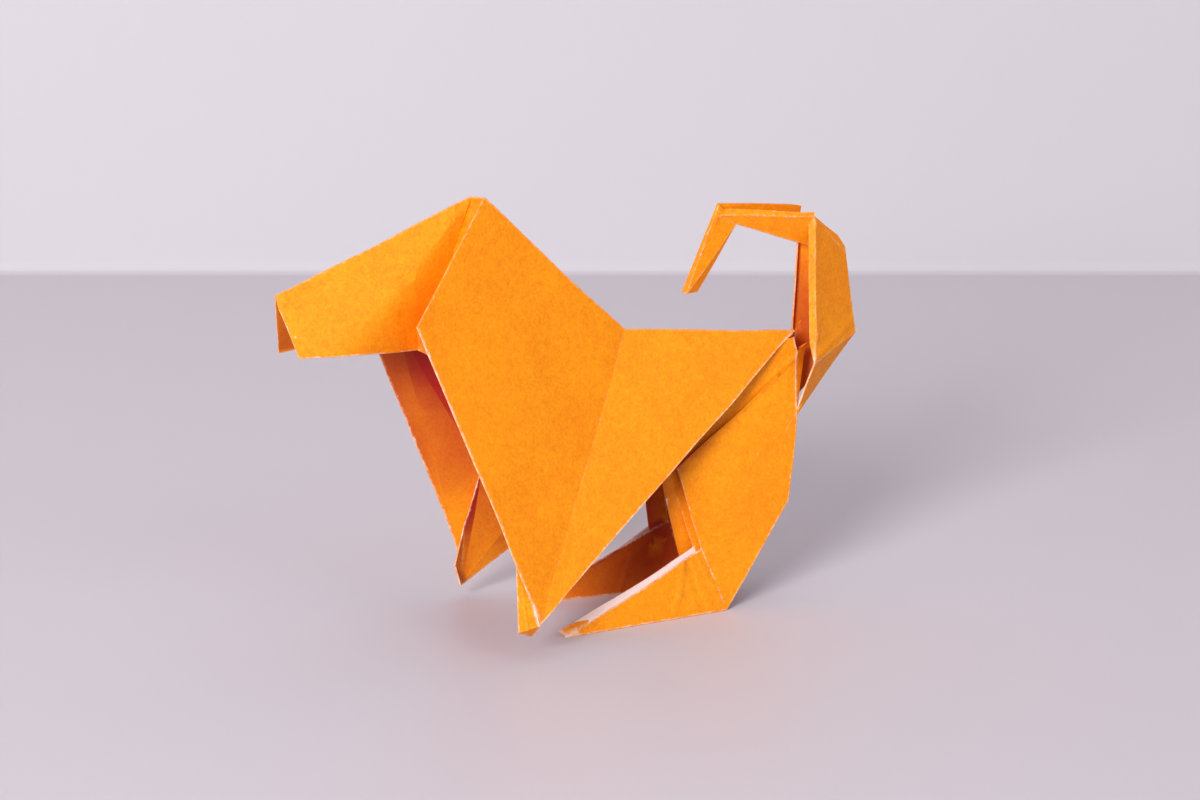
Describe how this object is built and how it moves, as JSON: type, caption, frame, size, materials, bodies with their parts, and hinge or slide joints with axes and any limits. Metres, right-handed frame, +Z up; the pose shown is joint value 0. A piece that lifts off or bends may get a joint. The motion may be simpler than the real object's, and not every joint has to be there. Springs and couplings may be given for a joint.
{
  "type": "origami dog",
  "caption": "Standing dog folded from one square of orange paper, with a pointed head, kite-shaped front legs, channel-shaped hind feet and a tail that turns forward over the back.",
  "frame": {"origin": "under the middle of the dog's length and width, on the table", "axes": "+Z up, +X from the nose towards the tail, so the dog faces -X, and +Y towards the dog's right side, with its symmetry plane at y = 0"},
  "size_m": [0.0912, 0.0322, 0.0644],
  "materials": {
    "orange_paper": "matte"
  },
  "bodies": {
    "root": {"folded_sheet": "orange_paper"}
  },
  "joints": []
}
